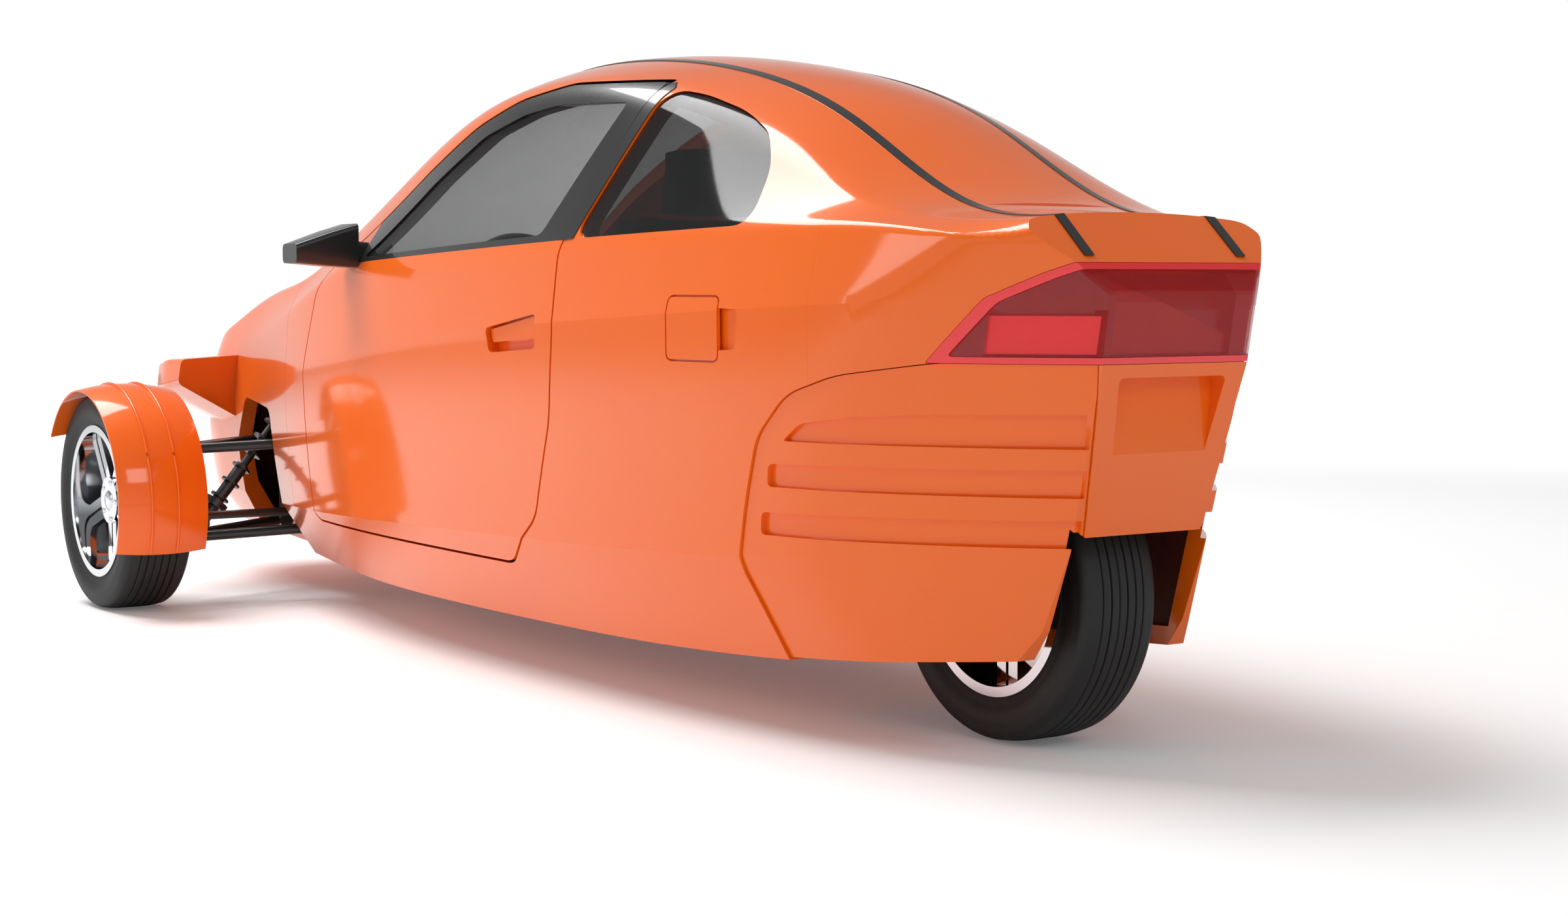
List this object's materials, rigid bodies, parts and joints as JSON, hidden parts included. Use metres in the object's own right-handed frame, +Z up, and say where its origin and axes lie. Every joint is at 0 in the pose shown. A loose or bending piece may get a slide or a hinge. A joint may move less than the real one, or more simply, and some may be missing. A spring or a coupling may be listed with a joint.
{
  "type": "three wheeled car",
  "caption": "Enclosed two seat three wheeled car: steered front wheels under cycle fenders outside a narrow teardrop body, one door, wrap around tail lamp.",
  "frame": {"origin": "on the ground under the middle of the length, on the middle plane", "axes": "+X forward, +Y to the left, +Z up"},
  "size_m": [4.077, 1.772, 1.379],
  "materials": {
    "body_paint": "glossy orange paint",
    "red_lens": "clear red lamp cover",
    "clear_lens": "clear lamp cover",
    "window_glass": "lightly tinted glass",
    "arch_liner": "dark moulded liner",
    "black_trim": "gloss black trim",
    "seal_rubber": "matt black rubber",
    "black_plastic": "fine grained black plastic",
    "engine_metal": "dark cast block",
    "radiator_metal": "dull finned core",
    "black_steel": "black coated steel",
    "damper_steel": "satin steel",
    "cast_alloy": "sand cast alloy",
    "tyre_rubber": "matt black tread rubber",
    "bright_rim": "polished bright wheel",
    "brake_steel": "turned steel",
    "cabin_plastic": "dark grained cabin plastic",
    "seat_fabric": "dark woven seat cloth"
  },
  "bodies": {
    "body": {"nose_shell": "body_paint", "cabin_shell": "body_paint", "deck_panel": "body_paint", "quarter_covers": "body_paint", "tail_panel": "body_paint", "headlamp_pods": "body_paint", "tail_lamp": "red_lens", "headlamps": "clear_lens", "windscreen": "window_glass", "right_glass": "window_glass", "quarter_glass": "window_glass", "wheel_arch": "arch_liner", "roof_strips": "black_trim", "pillar_trims": "black_trim", "door_seal": "seal_rubber", "grille": "black_plastic", "mirror_right": "black_trim", "engine_block": "engine_metal", "radiator": "radiator_metal", "front_subframe": "black_steel", "lower_arms": "black_steel", "upper_arms": "black_steel", "front_dampers": "damper_steel", "rack_housing": "cast_alloy", "swing_arm": "black_steel", "rear_axle": "brake_steel", "rear_dampers": "damper_steel", "dashboard": "cabin_plastic", "front_cushion": "seat_fabric", "front_backrest": "seat_fabric", "rear_cushion": "seat_fabric", "rear_backrest": "seat_fabric", "headrests": "seat_fabric", "seat_frames": "cabin_plastic"},
    "door": {"door_shell": "body_paint", "door_glass": "window_glass", "door_handle": "body_paint", "mirror_left": "black_trim"},
    "fuel_flap": {"fuel_flap": "body_paint"},
    "steering_wheel": {"steering_wheel": "cabin_plastic"},
    "steering_rack": {"steering_rack": "black_steel"},
    "knuckle_left": {"knuckle_left": "cast_alloy", "fender_left": "body_paint"},
    "knuckle_right": {"knuckle_right": "cast_alloy", "fender_right": "body_paint"},
    "wheel_left": {"tyre_left": "tyre_rubber", "rim_left": "bright_rim", "disc_left": "brake_steel"},
    "wheel_right": {"tyre_right": "tyre_rubber", "rim_right": "bright_rim", "disc_right": "brake_steel"},
    "wheel_rear": {"tyre_rear": "tyre_rubber", "rim_rear": "bright_rim"}
  },
  "joints": [
    {"name": "steer_left", "type": "hinge", "parent": "body", "child": "knuckle_left", "pos_m": [1.19136, 0.668, 0.286], "axis": [0, 0, 1], "range_deg": [-32, 32]},
    {"name": "steer_right", "type": "hinge", "parent": "body", "child": "knuckle_right", "pos_m": [1.19136, -0.668, 0.286], "axis": [0, 0, 1], "range_deg": [-32, 32]},
    {"name": "rack_slide", "type": "slide", "parent": "body", "child": "steering_rack", "axis": [0, 1, 0], "range_m": [-0.07, 0.07]},
    {"name": "steering_wheel_turn", "type": "hinge", "parent": "body", "child": "steering_wheel", "pos_m": [0.35596, 0, 0.81], "axis": [-0.9207, 0, 0.3902], "range_deg": [-385, 385]},
    {"name": "spin_left", "type": "hinge", "parent": "knuckle_left", "child": "wheel_left", "pos_m": [1.19136, 0.768, 0.286], "axis": [0, 1, 0], "continuous": true},
    {"name": "spin_right", "type": "hinge", "parent": "knuckle_right", "child": "wheel_right", "pos_m": [1.19136, -0.768, 0.286], "axis": [0, 1, 0], "continuous": true},
    {"name": "spin_rear", "type": "hinge", "parent": "body", "child": "wheel_rear", "pos_m": [-1.60264, 0, 0.286], "axis": [0, 1, 0], "continuous": true},
    {"name": "door_hinge", "type": "hinge", "parent": "body", "child": "door", "pos_m": [0.6695, 0.505, 0.65], "axis": [0, 0, -1], "range_deg": [0, 62]},
    {"name": "flap_hinge", "type": "hinge", "parent": "body", "child": "fuel_flap", "pos_m": [-1.1526, 0.5166, 0.775], "axis": [0, 0, -1], "range_deg": [0, 100]}
  ],
  "couplings": [
    {"joint": "steer_right", "follows": "steer_left", "ratio": 1},
    {"joint": "rack_slide", "follows": "steer_left", "m_per_rad": -0.12},
    {"joint": "steering_wheel_turn", "follows": "steer_left", "ratio": 12}
  ]
}
